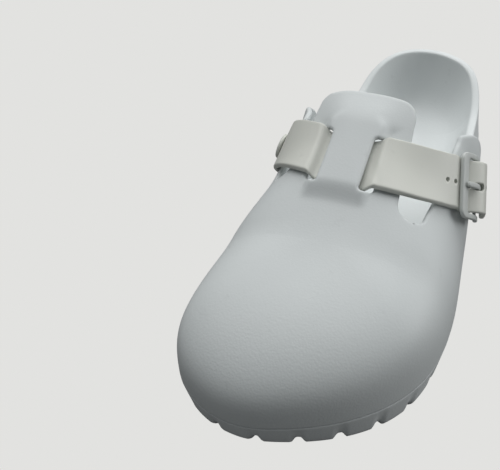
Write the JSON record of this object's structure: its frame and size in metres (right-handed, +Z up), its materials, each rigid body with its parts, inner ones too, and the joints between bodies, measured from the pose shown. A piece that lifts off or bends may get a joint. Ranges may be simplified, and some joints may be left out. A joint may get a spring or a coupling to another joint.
{
  "type": "one-strap clog",
  "caption": "Backless moulded foam clog with a cupped heel rim, a tongue tab, a lugged sole, and a strap that runs under a bridge on the instep to a pin buckle.",
  "frame": {"origin": "centre of the footprint's bounding box, on the floor the shoe stands on", "axes": "+Y from toe to heel, +X to the outer (little toe) side, +Z up"},
  "size_m": [0.1154, 0.2802, 0.1002],
  "materials": {
    "moulded_foam": "matte moulded closed-cell foam with a fine leathery grain, cool pale grey",
    "strap_foam": "smooth moulded foam, warmer pale grey",
    "buckle_plastic": "satin moulded plastic, grey"
  },
  "bodies": {
    "root": {"sole": "moulded_foam", "upper": "moulded_foam", "strap": "strap_foam", "buckle_frame": "buckle_plastic", "buckle_prong": "buckle_plastic", "hinge_tab": "moulded_foam", "strap_stud": "strap_foam"}
  },
  "joints": []
}
